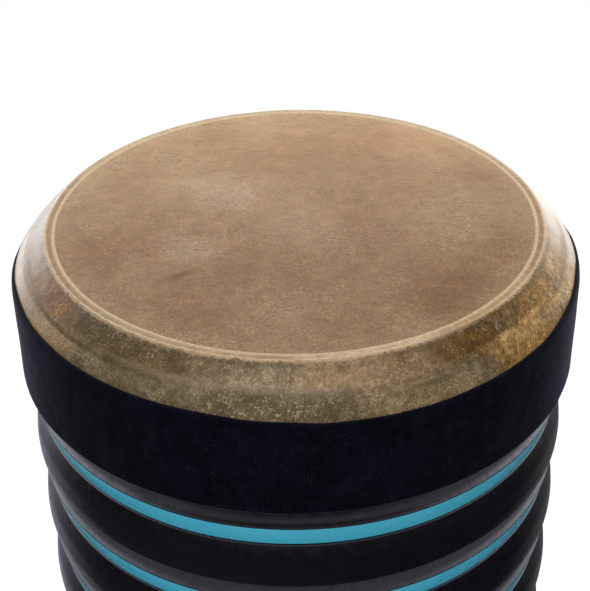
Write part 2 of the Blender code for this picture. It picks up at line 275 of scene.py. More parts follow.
def turning_tree():
    """Turns an outline about the Z axis. It may repeat upwards, and an open one is given a wall inside it."""
    group = bpy.data.node_groups.new("turn_outline", "GeometryNodeTree")
    sockets = group.interface
    for name, kind in (("Outline", "Geometry"), ("Steps", "Int"), ("Repeats", "Int"), ("Pitch", "Float"),
                       ("Wall", "Float"), ("Finish", "Material")):
        sockets.new_socket(name, in_out="INPUT", socket_type=f"NodeSocket{kind}")
    sockets.new_socket("Piece", in_out="OUTPUT", socket_type="NodeSocketGeometry")
    tree = Tree(group)
    maths = tree.maths
    given = tree.add("NodeGroupInput").outputs
    size = tree.add("GeometryNodeAttributeDomainSize", component="MESH")
    tree.feed(size.inputs["Geometry"], given["Outline"])
    count = size.outputs["Point Count"]
    one_side = maths("MULTIPLY", count, given["Repeats"])
    walled = maths("GREATER_THAN", given["Wall"], 0.0)
    loop = maths("MULTIPLY", one_side, maths("ADD", walled, 1.0))
    columns = maths("ADD", loop, 1.0)
    grid = tree.add("GeometryNodeMeshGrid")
    tree.feed(grid.inputs["Vertices X"], maths("ADD", given["Steps"], 1.0))
    tree.feed(grid.inputs["Vertices Y"], columns)
    index = tree.add("GeometryNodeInputIndex").outputs["Index"]
    row = maths("FLOOR", maths("DIVIDE", maths("ADD", index, 0.5), columns))
    along = maths("MODULO", maths("SUBTRACT", index, maths("MULTIPLY", row, columns)), loop)
    inside = maths("GREATER_THAN", along, maths("SUBTRACT", one_side, 0.5))
    mirrored = maths("SUBTRACT", maths("SUBTRACT", loop, 1.0), along)
    turned_back = maths("MULTIPLY", inside, maths("SUBTRACT", mirrored, along))
    place = maths("ADD", along, turned_back)
    repeat = maths("FLOOR", maths("DIVIDE", maths("ADD", place, 0.5), count))
    sample = tree.add("GeometryNodeSampleIndex", data_type="FLOAT_VECTOR", domain="POINT")
    tree.feed(sample.inputs["Geometry"], given["Outline"])
    tree.feed(sample.inputs["Value"], tree.add("GeometryNodeInputPosition").outputs["Position"])
    tree.feed(sample.inputs["Index"], maths("SUBTRACT", place, maths("MULTIPLY", repeat, count)))
    out, _, up = tree.axes(sample.outputs["Value"])
    radius = maths("SUBTRACT", out, maths("MULTIPLY", inside, given["Wall"]))
    height = maths("ADD", up, maths("MULTIPLY", repeat, given["Pitch"]))
    turn = maths("DIVIDE", maths("MULTIPLY", row, 2 * math.pi), given["Steps"])
    around = [maths("MULTIPLY", radius, maths(side, turn)) for side in ("COSINE", "SINE")]
    move = tree.add("GeometryNodeSetPosition")
    tree.feed(move.inputs["Geometry"], grid.outputs["Mesh"])
    tree.feed(move.inputs["Position"], tree.vector(*around, height))
    weld = tree.add("GeometryNodeMergeByDistance")
    weld.inputs["Distance"].default_value = 0.000005
    tree.feed(weld.inputs["Geometry"], move.outputs["Geometry"])
    real = tree.add("GeometryNodeRealizeInstances")
    tree.feed(real.inputs["Geometry"], weld.outputs["Geometry"])
    finish = tree.add("GeometryNodeSetMaterial")
    tree.feed(finish.inputs["Geometry"], real.outputs["Geometry"])
    tree.feed(finish.inputs["Material"], given["Finish"])
    tree.feed(tree.add("NodeGroupOutput").inputs["Piece"], finish.outputs["Geometry"])
    return group


TURNING = turning_tree()


def set_input(modifier, name, value):
    """Set a modifier's input by its socket's identifier."""
    for item in modifier.node_group.interface.items_tree:
        if item.item_type == "SOCKET" and item.in_out == "INPUT" and item.name == name:
            modifier[item.identifier] = value


def turned(name, outline, finish, steps=TURN_STEPS, repeats=1, pitch=0.0, wall=0.0, sharp=40.0):
    """Make a piece from an outline of (radius, height) points: a closed one, or an open one and a wall."""
    mesh = bpy.data.meshes.new(name)
    mesh.from_pydata([(radius, 0.0, height) for radius, height in outline], [], [])
    piece = bpy.data.objects.new(name, mesh)
    bpy.context.scene.collection.objects.link(piece)
    modifier = piece.modifiers.new("Turn", "NODES")
    modifier.node_group = TURNING
    for socket, value in (("Steps", steps), ("Repeats", repeats), ("Pitch", pitch), ("Wall", wall), ("Finish", finish)):
        set_input(modifier, socket, value)
    bpy.context.view_layer.update()
    graph = bpy.context.evaluated_depsgraph_get()
    solid = bpy.data.meshes.new_from_object(piece.evaluated_get(graph))
    piece.modifiers.clear()
    piece.data = solid
    settle_normals(solid, sharp)
    return piece


def settle_normals(mesh, sharp):
    """Point all faces outwards and shade them smooth, but for edges sharper than an angle."""
    work = bmesh.new()
    work.from_mesh(mesh)
    bmesh.ops.remove_doubles(work, verts=work.verts, dist=0.000002)
    bmesh.ops.dissolve_degenerate(work, edges=work.edges, dist=0.000001)
    bmesh.ops.delete(work, geom=[edge for edge in work.edges if not edge.link_faces], context="EDGES")
    bmesh.ops.recalc_face_normals(work, faces=work.faces)
    work.to_mesh(mesh)
    work.free()
    mesh.shade_smooth()
    mesh.set_sharp_from_angle(angle=math.radians(sharp))


def rounded(points, radii, steps=5):
    """Round the corners of an open outline by the given radii."""
    result = [points[0]]
    for i in range(1, len(points) - 1):
        corner = Vector(points[i])
        if radii[i] <= 0.0:
            result.append(points[i])
            continue
        back = Vector(points[i - 1]) - corner
        ahead = Vector(points[i + 1]) - corner
        reach = min(radii[i] / math.tan(back.angle(ahead) / 2), back.length * 0.45, ahead.length * 0.45)
        start = corner + back.normalized() * reach
        end = corner + ahead.normalized() * reach
        for step in range(steps + 1):
            t = step / steps
            point = start * (1 - t) ** 2 + corner * 2 * t * (1 - t) + end * t ** 2
            result.append((point.x, point.y))
    result.append(points[-1])
    return result


def hump(distance, width):
    return math.exp(-(distance / width) ** 2)


def on_slope(down):
    """A point of the slope: a low ridge where the bearing ring ends, and the crease just below it."""
    share = down / SLOPE_LENGTH
    lift = 0.00030 * hump(down - CREASE_DOWN + 0.0022, 0.0016) - 0.00026 * hump(down - CREASE_DOWN, 0.0008)
    lift += 0.00020 * math.sin(math.pi * share)
    radius = SKIN_EDGE + SLOPE_RUN * share + lift * SLOPE_DROP / SLOPE_LENGTH
    return radius, HEAD_TOP - SLOPE_DROP * share + lift * SLOPE_RUN / SLOPE_LENGTH


def skin_line(flat_rings, rim_rings, slope_rings, bend_rings):
    """The skin's outside from the middle of the flat to the end of the skirt under the hoop."""
    flat_end = INNER_LINE - 0.0015
    flat = [(flat_end * i / flat_rings, HEAD_TOP) for i in range(flat_rings)]
    rim = []
    for i in range(rim_rings):
        radius = flat_end + (SKIN_EDGE - 0.0004 - flat_end) * i / (rim_rings - 1)
        rise = LINE_RISE * (hump(radius - INNER_LINE, 0.0004) + hump(radius - OUTER_LINE, 0.0005))
        rim.append((radius, HEAD_TOP + rise))
    first_down, last_down = 0.0006, SLOPE_LENGTH - BEND_REACH
    slope = [on_slope(first_down + (last_down - first_down) * i / slope_rings) for i in range(slope_rings)]
    shoulder = []
    for i in range(bend_rings):
        lean = SLOPE_TILT * (1.0 - i / (bend_rings - 1))
        shoulder.append((SKIN_SHOULDER[0] - SHOULDER_BEND * (1.0 - math.cos(lean)),
                         SKIN_SHOULDER[1] - BEND_REACH + SHOULDER_BEND * math.sin(lean)))
    skirt = rounded(list(SKIN_GROOVE) + [(SKIN_SHOULDER[0], SKIN_SKIRT_END)], [0, 0.001, 0.001, 0.001, 0], steps=3)
    return flat + rim + slope + shoulder + skirt


def skin_outline():
    inside = skin_line(10, 6, 12, 5)
    under = [(max(radius - SKIN_THICKNESS, 0.0), height - SKIN_THICKNESS) for radius, height in inside]
    return skin_line(40, 26, 28, 10) + under[::-1]


def unsettle(piece, sizes, bottom):
    """Move a turned piece's surface in and out by slow noise above a height, because hide and cloth are never true."""
    for vertex in piece.data.vertices:
        place = vertex.co
        weight = min(max((place.z - bottom) / 0.002, 0.0), 1.0)
        out = Vector((place.x, place.y, 0.0)) / max(place.xy.length, 0.01)
        lean = min(max((place.xy.length - SKIN_EDGE) / 0.002 + 1.0, 0.0), 1.0)
        shift = sum(size * noise.noise(place * scale) for size, scale in sizes)
        vertex.co = place + (out * lean + Vector((0.0, 0.0, 1.0))) * shift * weight


class Finish(Tree):
    """A material in the making: a Principled shader, and the nodes that feed it in the piece's own coordinates."""

    def __init__(self, name):
        self.material = new_material(name)
        super().__init__(self.material.node_tree)
        self.shader = self.add("ShaderNodeBsdfPrincipled")
        self.feed(self.add("ShaderNodeOutputMaterial").inputs["Surface"], self.shader.outputs["BSDF"])
        self.place = self.add("ShaderNodeTexCoord").outputs["Object"]

    def noise(self, scale, detail=2.0, roughness=0.5, shift=(0.0, 0.0, 0.0), at=None):
        mapping = self.add("ShaderNodeMapping")
        mapping.inputs["Location"].default_value = shift
        self.feed(mapping.inputs["Vector"], at or self.place)
        texture = self.add("ShaderNodeTexNoise")
        for name, value in (("Scale", scale), ("Detail", detail), ("Roughness", roughness)):
            texture.inputs[name].default_value = value
        self.feed(texture.inputs["Vector"], mapping.outputs["Vector"])
        return texture.outputs["Fac"]

    def ramp(self, value, *stops):
        node = self.add("ShaderNodeValToRGB")
        elements = node.color_ramp.elements
        while len(elements) < len(stops):
            elements.new(0.5)
        for element, (position, colour) in zip(elements, stops):
            element.position = position
            element.color = (*colour, 1.0)
        self.feed(node.inputs["Fac"], value)
        return node.outputs["Color"]

    def contrast(self, colour, value, spread, amount):
        """Darken and lighten a colour by a noise: spread is how far the noise goes to reach the ends."""
        low, high = (0.5 - spread, 0.5 + spread)
        shades = self.ramp(value, (low, (0.45, 0.43, 0.40)), (0.5, (1.0, 1.0, 1.0)), (high, (1.75, 1.78, 1.85)))
        return self.mix(amount, colour, shades, "MULTIPLY")

    def relief(self, height, strength, distance):
        bump = self.add("ShaderNodeBump")
        bump.inputs["Distance"].default_value = distance
        self.feed(bump.inputs["Strength"], strength)
        self.feed(bump.inputs["Height"], height)
        self.feed(self.shader.inputs["Normal"], bump.outputs["Normal"])

    def set(self, **values):
        """Set the shader's own sockets, and return the finished material."""
        for name, value in values.items():
            self.feed(self.shader.inputs[name.replace("_", " ")], value)
        return self.material


class Hide(Finish):
    """The hide's finish: its noises, its ways to lay a cloud or a circle of colour, and its three zones."""

    def __init__(self, name):
        super().__init__(name)
        maths = self.maths
        self.x, self.y, _ = self.axes(self.place)
        self.radius = maths("SQRT", maths("MULTIPLY_ADD", self.x, self.x, self.times(self.y, self.y)))
        self.coarse = self.noise(210.0, 4.0, 0.70)
        self.grain = self.noise(620.0, 4.0, 0.72)
        self.speckle = self.noise(1250.0, 2.0, 0.60, shift=(0.3, 0.0, 0.0))
        self.rough = self.between(self.noise(55.0, 4.0, 0.6, shift=(0.9, 0.3, 0.0)), 0.40, 0.62, 0.45, 1.0)
        sideways = maths("DIVIDE", self.x, self.radius)
        self.flank = self.between(maths("ABSOLUTE", sideways), 0.84, 0.98)
        self.sheer = maths("MAXIMUM", self.between(sideways, -0.98, -0.84, 1.0, 0.0), self.between(sideways, 0.94, 1.0))
        self.smudge = self.times(maths("SUBTRACT", self.noise(34.0, 5.0, 0.65), 0.5), 0.055)

    def cloud(self, at, near, far, amount=1.0):
        """A patch with a smudged edge: whole up to one distance from a place, and gone beyond another."""
        across = self.maths("SUBTRACT", self.x, at[0])
        along = self.maths("SUBTRACT", self.y, at[1])
        away = self.maths("SQRT", self.maths("MULTIPLY_ADD", across, across, self.times(along, along)))
        return self.between(self.maths("ADD", away, self.smudge), near, far, amount, 0.0)

    def at_turn(self, degrees, near, far, amount=1.0):
        """A cloud at the middle of the slope, by its heading from the drum's axis."""
        turn = math.radians(degrees)
        return self.cloud((SLOPE_MIDDLE * math.cos(turn), SLOPE_MIDDLE * math.sin(turn)), near, far, amount)

    def circle(self, radius, half_width, soft, amount=1.0):
        away = self.maths("ABSOLUTE", self.maths("SUBTRACT", self.radius, radius))
        return self.between(away, half_width, half_width + soft, amount, 0.0)

    def flat(self):
        """The playing surface: cloudy brown, with a scar and groups of pores, and painted light that makes it paler at
        the back and darker at the front.
        """
        colour = self.ramp(self.noise(10.0, 6.0, 0.62, shift=(0.31, 0.12, 0.0)), (0.36, (0.212, 0.117, 0.055)),
                           (0.50, (0.270, 0.157, 0.080)), (0.64, (0.318, 0.197, 0.108)))
        stains = self.between(self.noise(26.0, 5.0, 0.6, shift=(0.0, 0.7, 0.0)), 0.50, 0.70, 0.0, 0.6)
        colour = self.mix(stains, colour, (0.225, 0.112, 0.053))
        for place, near, far, amount, shade in (
                ((-0.039, 0.026), 0.006, 0.027, 0.78, (0.350, 0.245, 0.150)),
                ((-0.050, -0.031), 0.004, 0.021, 0.70, (0.350, 0.240, 0.146)),
                ((-0.043, -0.004), 0.002, 0.014, 0.45, (0.340, 0.235, 0.142)),
                ((-0.009, -0.084), 0.006, 0.034, 0.35, (0.340, 0.230, 0.140)),
                ((-0.034, -0.083), 0.004, 0.026, 0.45, (0.215, 0.100, 0.050)),
                ((-0.026, -0.112), 0.002, 0.016, 0.50, (0.215, 0.120, 0.060)),
                ((0.050, -0.102), 0.002, 0.016, 0.50, (0.350, 0.225, 0.125)),
                ((0.064, -0.074), 0.004, 0.026, 0.45, (0.170, 0.088, 0.038)),
                ((0.079, -0.058), 0.003, 0.016, 0.45, (0.170, 0.088, 0.038)),
                ((0.038, -0.024), 0.003, 0.022, 0.40, (0.200, 0.098, 0.050)),
                ((0.075, 0.092), 0.004, 0.030, 0.45, (0.370, 0.180, 0.085)),
                ((0.088, -0.006), 0.006, 0.055, 0.50, (0.340, 0.226, 0.122))):
            colour = self.mix(self.cloud(place, near, far, amount), colour, shade)
        colour = self.mix(self.between(self.radius, 0.106, INNER_LINE, 0.0, 0.34), colour, (0.395, 0.275, 0.165))
        colour = self.mix(self.scar(), colour, (0.100, 0.043, 0.016))
        # Painted light: the flat is painted darker at the front and paler at the back, as if lit from behind.
        depth = self.between(self.y, -0.13, 0.13)
        light = self.ramp(depth, (0.0, (0.75, 0.73, 0.69)), (0.5, (0.91, 0.89, 0.90)), (1.0, (1.22, 1.25, 1.21)))
        colour = self.mix(1.0, colour, light, "MULTIPLY")
        near_side = self.between(self.y, -0.07, 0.09, 1.0, 0.20)
        colour = self.contrast(colour, self.noise(95.0, 4.0, 0.60, shift=(0.2, 0.2, 0.0)), 0.34, 0.38)
        colour = self.contrast(colour, self.coarse, 0.30, self.times(near_side, 0.42))
        colour = self.contrast(colour, self.grain, 0.22, self.times(near_side, self.rough, 0.78))
        colour = self.contrast(colour, self.speckle, 0.24, self.times(near_side, self.rough, 0.72))
        drawn_out = self.vector(self.times(self.x, 150.0), self.times(self.y, 1000.0), 0.5)
        wrinkles = self.between(self.noise(1.0, 2.0, 0.6, at=drawn_out), 0.57, 0.68)
        wrinkled = self.between(self.noise(33.0, 4.0, 0.6, shift=(0.1, 0.6, 0.0)), 0.50, 0.62, 0.06, 0.62)
        colour = self.mix(self.times(wrinkles, wrinkled), colour, (0.120, 0.062, 0.030))
        pores = self.add("ShaderNodeTexVoronoi")
        pores.inputs["Scale"].default_value = 420.0
        self.feed(pores.inputs["Vector"], self.place)
        groups = self.between(self.noise(45.0, 4.0, 0.6, shift=(0.5, 0.0, 0.0)), 0.50, 0.62, 0.0, 0.75)
        pits = self.times(self.between(pores.outputs["Distance"], 0.12, 0.26, 1.0, 0.0), groups)
        return self.mix(pits, colour, (0.085, 0.040, 0.021))

    def scar(self):
        """A short healed cut, a little bent and aslant."""
        x = self.maths("ADD", self.x, 0.0535)
        y = self.maths("ADD", self.y, 0.0558)
        along = self.maths("MULTIPLY_ADD", x, 0.82, self.times(y, 0.57))
        across = self.maths("SUBTRACT", self.times(y, 0.82), self.times(x, 0.57))
        bent = self.maths("MULTIPLY_ADD", self.smudge, 0.16, across)
        return self.times(self.between(self.maths("ABSOLUTE", bent), 0.0008, 0.0034, 1.0, 0.0),
                          self.between(self.maths("ABSOLUTE", along), 0.001, 0.011, 0.9, 0.0))

    def hairs(self):
        """Noise drawn out along the swept lie of the hair on the slope."""
        sweep = self.times(self.maths("SUBTRACT", self.radius, SKIN_EDGE), 6.0)
        around_x = self.maths("DIVIDE", self.x, self.radius)
        around_y = self.maths("DIVIDE", self.y, self.radius)
        swept_x = self.maths("SUBTRACT", around_x, self.times(around_y, sweep))
        swept_y = self.maths("MULTIPLY_ADD", around_x, sweep, around_y)
        lie = self.vector(self.times(swept_x, 210.0), self.times(swept_y, 210.0), self.times(self.radius, 360.0))
        return self.noise(1.0, 3.0, 0.65, at=lie)

    def slope(self, hairs):
        """The drawn-down side: olive and brown in clouds, other ones above the crease than below it, and flecked; pale
        clouds carry painted sheen on its flanks and a painted highlight at the front.
        """
        upper = self.between(self.radius, CREASE_RADIUS - 0.0030, CREASE_RADIUS + 0.0004, 1.0, 0.0)
        lower = self.maths("SUBTRACT", 1.0, upper)
        middle = self.circle(CREASE_RADIUS - 0.0008, 0.0008, 0.0022)
        colour = self.mix(upper, (0.128, 0.092, 0.044), (0.118, 0.078, 0.034))
        for degrees, near, far, amount, where, shade in (
                (204, 0.020, 0.042, 0.92, upper, (0.200, 0.092, 0.026)),
                (204, 0.024, 0.052, 0.90, lower, (0.300, 0.186, 0.076)),
                (227, 0.012, 0.034, 0.80, upper, (0.088, 0.054, 0.020)),
                # Painted highlight over paler hide: the pale clouds above the crease at 268 and 283 degrees.
                (268, 0.022, 0.048, 0.90, upper, (0.290, 0.210, 0.128)),
                (268, 0.008, 0.030, 0.70, lower, (0.098, 0.074, 0.036)),
                (283, 0.012, 0.034, 0.92, upper, (0.350, 0.228, 0.122)),
                # Painted sheen over pale hide, high on the left flank.
                (187, 0.010, 0.028, 0.80, upper, (0.330, 0.235, 0.190)),
                (295, 0.020, 0.045, 0.85, lower, (0.205, 0.140, 0.070)),
                (296, 0.006, 0.020, 0.70, upper, (0.230, 0.150, 0.074)),
                (308, 0.010, 0.028, 0.95, upper, (0.110, 0.054, 0.012)),
                (321, 0.014, 0.040, 0.90, lower, (0.300, 0.160, 0.042)),
                (326, 0.008, 0.032, 0.85, upper, (0.200, 0.096, 0.016)),
                (344, 0.008, 0.028, 0.95, upper, (0.385, 0.230, 0.096)),
                # Painted sheen over pale hide, on the right flank and round towards the back.
                (358, 0.010, 0.034, 0.88, upper, (0.520, 0.400, 0.270)),
                (16, 0.016, 0.040, 0.90, upper, (0.560, 0.460, 0.350)),
                (346, 0.016, 0.040, 0.95, lower, (0.380, 0.232, 0.084)),
                # Painted sheen over pale hide, low on both flanks.
                (186, 0.014, 0.036, 0.85, lower, (0.480, 0.370, 0.255)),
                (358, 0.012, 0.032, 0.85, lower, (0.520, 0.410, 0.290)),
                (16, 0.016, 0.040, 0.90, lower, (0.560, 0.460, 0.350)),
                (203, 0.016, 0.034, 0.65, middle, (0.120, 0.056, 0.018)),
                (250, 0.008, 0.024, 0.40, middle, (0.270, 0.200, 0.125)),
                (273, 0.008, 0.024, 0.45, middle, (0.270, 0.205, 0.140)),
                (292, 0.010, 0.028, 0.55, middle, (0.270, 0.180, 0.100)),
                (319, 0.014, 0.034, 0.80, middle, (0.380, 0.222, 0.080)),
                (356, 0.010, 0.028, 0.80, middle, (0.300, 0.190, 0.090))):
            colour = self.mix(self.times(self.at_turn(degrees, near, far, amount), where), colour, shade)
        patches = self.noise(38.0, 6.0, 0.66, shift=(0.0, 0.4, 0.2))
        blotches = self.noise(105.0, 5.0, 0.68, shift=(0.4, 0.4, 0.0))
        right_side = self.maths("MAXIMUM", self.at_turn(322, 0.030, 0.060), 0.45)
        dry = self.maths("SUBTRACT", 1.0, self.times(self.sheer, 0.65))
        wild = self.at_turn(330, 0.030, 0.062)
        colour = self.contrast(colour, patches, 0.22, self.times(dry, 0.62))
        colour = self.contrast(colour, blotches, 0.20, self.times(right_side, dry, 0.75))
        colour = self.contrast(colour, self.coarse, 0.18, self.times(dry, self.maths("MULTIPLY_ADD", wild, 0.34, 0.50)))
        colour = self.contrast(colour, self.grain, 0.18, self.times(self.rough, dry, self.maths("MULTIPLY_ADD", wild, 0.35, 0.62)))
        colour = self.contrast(colour, hairs, 0.20, self.times(dry, self.maths("MULTIPLY_ADD", wild, 0.36, 0.36)))
        colour = self.contrast(colour, self.speckle, 0.20, self.times(self.rough, dry, 0.60))
        fleck_ground = self.between(self.noise(70.0, 5.0, 0.65, shift=(0.2, 0.0, 0.0)), 0.50, 0.66)
        for degrees, near, far in ((262, 0.010, 0.040), (287, 0.004, 0.022), (333, 0.020, 0.050)):
            fleck_ground = self.maths("MAXIMUM", fleck_ground, self.at_turn(degrees, near, far, 0.85))
        fleck_noise = self.noise(620.0, 4.0, 0.78, shift=(0.0, 0.9, 0.0))
        flecks = self.times(self.between(fleck_noise, 0.54, 0.62), fleck_ground, 0.80)
        colour = self.mix(flecks, colour, (0.560, 0.430, 0.270))
        dust_ground = self.between(self.noise(120.0, 4.0, 0.65, shift=(0.7, 0.2, 0.0)), 0.48, 0.60)
        dust = self.between(self.noise(1150.0, 3.0, 0.70, shift=(0.0, 0.2, 0.6)), 0.57, 0.65)
        colour = self.mix(self.times(dust, dust_ground, dry, 0.80), colour, (0.600, 0.470, 0.310))
        pits = self.between(self.noise(820.0, 3.0, 0.70, shift=(0.6, 0.6, 0.0)), 0.60, 0.67, 0.0, 0.60)
        colour = self.mix(self.times(pits, self.rough, dry), colour, (0.044, 0.030, 0.014))
        return self.crease(colour)

    def crease(self, colour):
        """Painted shade in the soft fold half way down, darkest at the left of the front and to the right of it, a
        painted shadow just below it on the right, and a painted highlight just above.
        """
        wander = self.maths("MULTIPLY_ADD", self.coarse, 0.0010, self.radius)
        off = self.maths("SUBTRACT", wander, CREASE_RADIUS + 0.0005)
        # Painted shade along the fold.
        fold = self.between(self.maths("ABSOLUTE", off), 0.0001, 0.0013, 1.0, 0.0)
        # Painted highlight: a paler band just above the fold.
        above = self.between(self.maths("ABSOLUTE", self.maths("ADD", off, 0.0017)), 0.0003, 0.0018, 0.40, 0.0)
        depth = self.between(self.noise(24.0, 3.0, 0.6, shift=(0.6, 0.1, 0.0)), 0.36, 0.64, 0.06, 0.26)
        depth = self.maths("MAXIMUM", depth, self.at_turn(218, 0.010, 0.034, 0.70))
        depth = self.times(depth, self.maths("MULTIPLY_ADD", self.flank, -0.85, 1.0))
        # Painted shadow: a dark line just below the fold, to the right of the front.
        shade = self.between(self.maths("ABSOLUTE", self.maths("SUBTRACT", off, 0.0014)), 0.0001, 0.0014, 1.0, 0.0)
        colour = self.mix(self.times(shade, self.at_turn(300, 0.012, 0.036, 0.50)), colour, (0.062, 0.048, 0.022))
        colour = self.mix(self.times(above, self.at_turn(256, 0.030, 0.062)), colour, (0.310, 0.225, 0.155))
        return self.mix(self.times(fold, depth), colour, (0.062, 0.042, 0.018))

    def rim(self, flat, slope):
        """Lay the bearing edge between the flat and the slope: two pale worn lines, a brown strip between, and painted
        shade on the slope just under the edge.
        """
        strip = self.circle((INNER_LINE + OUTER_LINE) / 2, 0.0021, 0.0008, 0.85)
        strip_colour = self.mix(self.at_turn(285, 0.022, 0.050), (0.272, 0.182, 0.098), (0.520, 0.380, 0.236))
        strip_colour = self.mix(self.at_turn(246, 0.030, 0.062, 0.9), strip_colour, (0.365, 0.262, 0.160))
        strip_colour = self.mix(self.between(self.y, 0.01, 0.09), strip_colour, (0.480, 0.385, 0.250))
        strip_colour = self.mix(self.at_turn(318, 0.018, 0.042, 0.80), strip_colour, (0.440, 0.286, 0.150))
        strip_colour = self.contrast(strip_colour, self.coarse, 0.24, 0.50)
        strip_colour = self.contrast(strip_colour, self.grain, 0.24, 0.45)
        flat = self.mix(strip, flat, strip_colour)
        pale = self.contrast((0.600, 0.430, 0.272), self.grain, 0.24, 0.35)
        flat = self.mix(self.circle(INNER_LINE, 0.0003, 0.0011, 0.90), flat, pale)
        gap = self.between(self.coarse, 0.36, 0.52, 0.45, 0.95)
        right_wear = self.at_turn(306, 0.012, 0.034, 0.75)
        gap = self.times(gap, self.maths("SUBTRACT", 1.0, right_wear))
        flat = self.mix(self.times(self.circle(OUTER_LINE + 0.0002, 0.0006, 0.0008), gap), flat, pale)
        ragged = self.times(self.maths("SUBTRACT", self.maths("ADD", self.coarse, self.grain), 1.0), 0.0046)
        past = self.maths("ADD", self.maths("SUBTRACT", self.radius, SKIN_EDGE), ragged)
        # Painted shade: a dark band on the slope just under the bearing edge, left out at the front where the edge is
        # worn.
        shade_outside_wear = self.maths("SUBTRACT", 1.0, self.at_turn(281, 0.006, 0.024))
        shade_under_edge = self.times(self.between(self.radius, SKIN_EDGE + 0.0008, SKIN_EDGE + 0.0032, 0.45, 0.0), shade_outside_wear)
        slope = self.mix(shade_under_edge, slope, (0.078, 0.046, 0.016))
        scuffed = self.between(self.noise(48.0, 5.0, 0.70, shift=(0.1, 0.8, 0.0)), 0.50, 0.64)
        for degrees, far in ((281, 0.018), (232, 0.058)):
            scuffed = self.maths("MAXIMUM", scuffed, self.at_turn(degrees, 0.004, far, 0.9))
        scuffs = self.times(self.between(past, 0.0, 0.0034, 0.9, 0.0), scuffed, self.between(self.grain, 0.48, 0.58))
        slope = self.mix(scuffs, slope, (0.560, 0.420, 0.270))
        return self.mix(self.between(past, 0.0002, 0.0008), flat, slope)


def goatskin_finish():
    hide = Hide("goatskin")
    hairs = hide.hairs()
    colour = hide.rim(hide.flat(), hide.slope(hairs))
    matt = hide.between(hide.radius, SKIN_EDGE - 0.001, SKIN_EDGE + 0.001, 0.42, 0.22)
    fading = hide.between(hide.radius, SKIN_EDGE, CREASE_RADIUS - 0.001, 0.150, 0.112)
    fading = hide.times(fading, hide.maths("SUBTRACT", 1.0, hide.at_turn(328, 0.042, 0.076, 0.50)))
    shine = hide.maths("ADD", fading, hide.between(hide.radius, CREASE_RADIUS, CREASE_RADIUS + 0.0016, 0.0, 0.078))
    bumps = hide.maths("MULTIPLY_ADD", hairs, 0.4, hide.maths("MULTIPLY_ADD", hide.coarse, 1.5, hide.grain))
    hide.relief(bumps, hide.maths("MULTIPLY_ADD", hide.flank, -0.40, 0.55), 0.0005)
    return hide.set(Base_Color=colour, Roughness=hide.maths("MULTIPLY_ADD", hide.grain, 0.20, matt),
                    Specular_IOR_Level=shine)


goatskin = turned("goatskin", skin_outline(), goatskin_finish(), steps=440)
unsettle(goatskin, ((0.00022, 26.0), (0.00006, 140.0)), SKIN_SHOULDER[1])
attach(goatskin, "head")
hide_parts("goatskin_head")


# Elastic band: a wide knitted tube of blue-black elastic, pulled over the hoop and the frame's wall.
# It is cut shorter than the drum's girth, so it holds by its stretch, and its upper edge rides onto the skin's slope.
BAND_INNER = 0.1435
BAND_DRAWN_IN = 0.0005
BAND_THICKNESS = 0.0011
BAND_BOTTOM = 0.5401
BAND_WIDTH = 0.0508
BEND_START = SKIN_SHOULDER[1] - BEND_REACH - BAND_BOTTOM
BEND_RADIUS = SHOULDER_BEND + 0.0001
HEM_RISE = ((0, 2), (8, -12), (30, -20), (150, -20), (176, -18), (186, 2), (198, 17), (225, 13), (250, 8),
            (265, -2), (276, -12), (290, -16), (305, -9), (320, -4), (335, 12), (347, 24), (360, 2))
KNIT_WALE = 0.0014
KNIT_COURSE = 0.0010


def on_band(along, depth):
    """A point at a distance up the band from its lower edge, and at a depth outside its inner face."""
    bend = min(max((along - BEND_START) / BEND_RADIUS, 0.0), SLOPE_TILT)
    beyond = max(along - BEND_START - BEND_RADIUS * SLOPE_TILT, 0.0)
    drawn_in = BAND_DRAWN_IN * min(along / BEND_START, 1.0)
    radius = BAND_INNER - drawn_in - BEND_RADIUS * (1.0 - math.cos(bend)) - beyond * math.sin(SLOPE_TILT)
    height = BAND_BOTTOM + min(along, BEND_START) + BEND_RADIUS * math.sin(bend) + beyond * math.cos(SLOPE_TILT)
    return radius + depth * math.cos(bend), height + depth * math.sin(bend)


def hem_rise(degrees):
    """How far the upper edge stands above the band's plain width, in tenths of a millimetre, smoothed between keys."""
    for (start, low), (end, high) in zip(HEM_RISE, HEM_RISE[1:]):
        if degrees <= end:
            share = (degrees - start) / (end - start)
            return 0.0001 * (low + (high - low) * share * share * (3.0 - 2.0 * share))
    return 0.0


def band_section(top):
    """The band's closed section, as (along, depth): two rolled edges and a face between them."""
    face = [(0.0, 0.0), (0.0001, 0.0007), (0.0006, 0.00105)]
    rows = 36
    face += [(0.0012 + (top - 0.0024) * i / rows, BAND_THICKNESS) for i in range(rows + 1)]
    face += [(top - 0.0006, 0.00105), (top - 0.0001, 0.0007), (top, 0.0)]
    back = [(top - top * (i + 1) / 12, 0.0) for i in range(11)]
    return face + back


